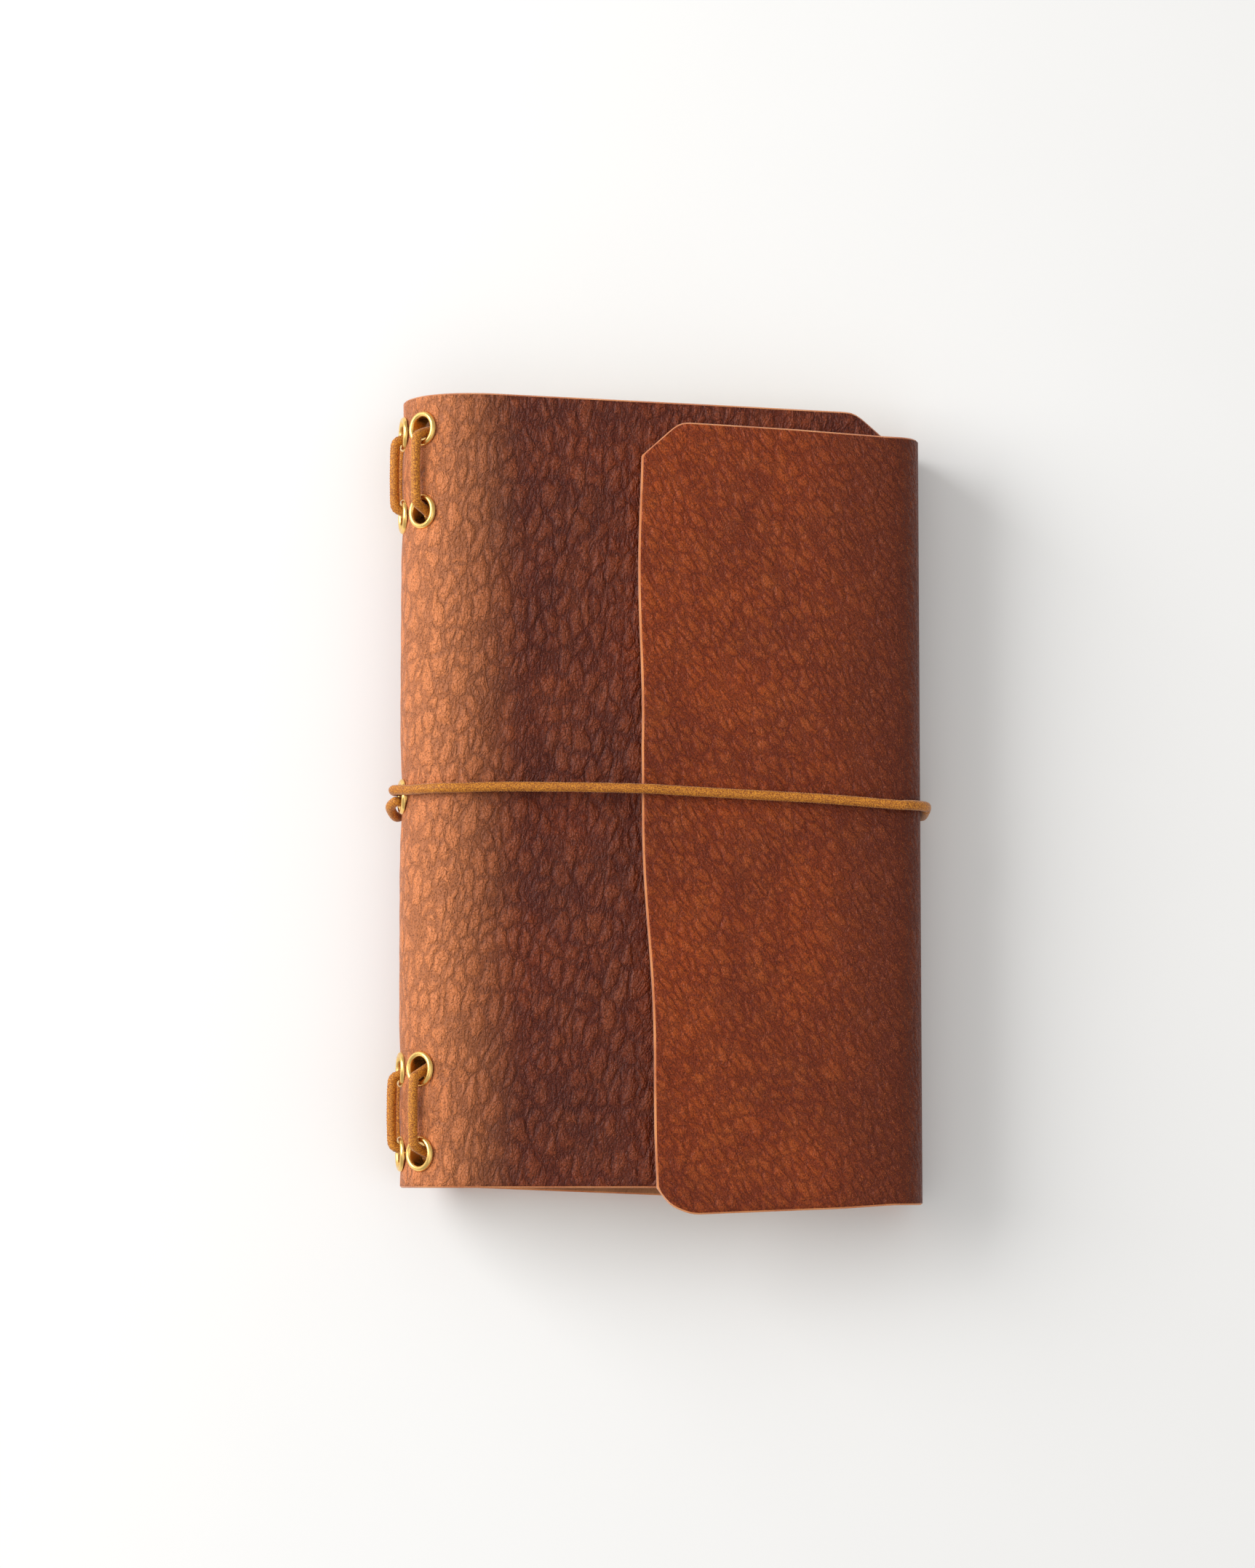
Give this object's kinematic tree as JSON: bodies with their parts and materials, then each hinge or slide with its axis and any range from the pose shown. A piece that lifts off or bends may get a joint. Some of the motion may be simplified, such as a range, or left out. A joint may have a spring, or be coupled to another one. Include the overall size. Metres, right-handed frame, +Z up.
{
  "type": "leather notebook cover",
  "caption": "Closed wrap-round leather notebook cover: eyelets and elastic stitches in a rounded spine, a fore-edge flap, a closing elastic, and corded refill notebooks inside.",
  "frame": {"origin": "middle of the part's own box, on the plane that the back rests on", "axes": "+X towards the fore edge, +Y towards the head, +Z up out of the front"},
  "size_m": [0.1078, 0.161, 0.0282],
  "materials": {
    "leather_spine": "pebbled, pale where it is stretched over the spine",
    "leather_front": "waxed, wrinkled grain",
    "leather_flap": "waxed, fine grain",
    "leather_back": "waxed, fine grain",
    "brass": "polished",
    "elastic": "wound elastic cord",
    "notebook_cover": "plain card",
    "paper": "plain paper",
    "staple_wire": "bright wire"
  },
  "bodies": {
    "book": {"spine": "leather_spine", "back_panel": "leather_back", "eyelet_front_head_outer": "brass", "eyelet_front_head_inner": "brass", "eyelet_front_tail_inner": "brass", "eyelet_front_tail_outer": "brass", "eyelet_middle_head_outer": "brass", "eyelet_middle_head_inner": "brass", "eyelet_middle_tail_inner": "brass", "eyelet_middle_tail_outer": "brass", "eyelet_rear_head_outer": "brass", "eyelet_rear_head_inner": "brass", "eyelet_rear_tail_inner": "brass", "eyelet_rear_tail_outer": "brass", "eyelet_closure": "brass", "washer_front_head_outer": "brass", "washer_front_head_inner": "brass", "washer_front_tail_inner": "brass", "washer_front_tail_outer": "brass", "washer_middle_head_outer": "brass", "washer_middle_head_inner": "brass", "washer_middle_tail_inner": "brass", "washer_middle_tail_outer": "brass", "washer_rear_head_outer": "brass", "washer_rear_head_inner": "brass", "washer_rear_tail_inner": "brass", "washer_rear_tail_outer": "brass", "washer_closure": "brass", "spine_elastic_front": "elastic", "spine_elastic_middle": "elastic", "spine_elastic_rear": "elastic", "knot_front": "elastic", "knot_middle": "elastic", "knot_rear": "elastic", "closure_tails": "elastic", "closure_knot": "elastic", "notebook_cover_front": "notebook_cover", "notebook_cover_middle": "notebook_cover", "notebook_cover_rear": "notebook_cover", "notebook_pages_front": "paper", "notebook_pages_middle": "paper", "notebook_pages_rear": "paper", "staple_front_head": "staple_wire", "staple_front_tail": "staple_wire", "staple_middle_head": "staple_wire", "staple_middle_tail": "staple_wire", "staple_rear_head": "staple_wire", "staple_rear_tail": "staple_wire"},
    "front_cover": {"front_hinge_strip": "leather_spine", "front_panel": "leather_front"},
    "fore_edge": {"lower_fold": "leather_back", "fore_edge_wall": "leather_flap"},
    "wrap_flap": {"upper_fold": "leather_flap", "flap": "leather_flap"},
    "closure": {"closure_elastic": "elastic"}
  },
  "joints": [
    {"name": "wrap_open", "type": "hinge", "parent": "book", "child": "fore_edge", "pos_m": [0.04964, 0.0026, 0.00215], "axis": [0, 1, 0], "range_deg": [0, 90], "deforming": ["lower_fold"]},
    {"name": "flap_fold", "type": "hinge", "parent": "fore_edge", "child": "wrap_flap", "pos_m": [0.04975, 0.0026, 0.01974], "axis": [0, 1, 0], "range_deg": [0, 85.4], "deforming": ["upper_fold"]},
    {"name": "closure_swing", "type": "hinge", "parent": "book", "child": "closure", "pos_m": [-0.05118, 0.0016, 0.01584], "axis": [0, -1, 0], "range_deg": [0, 188], "deforming": ["closure_elastic"]},
    {"name": "front_open", "type": "hinge", "parent": "book", "child": "front_cover", "pos_m": [-0.03881, 0.0026, 0.0274], "axis": [0, -1, 0], "range_deg": [0, 196], "deforming": ["front_hinge_strip"]}
  ],
  "couplings": [
    {"joint": "flap_fold", "follows": "wrap_open", "ratio": 0.9488},
    {"joint": "closure_swing", "follows": "wrap_open", "ratio": 2.0888}
  ]
}
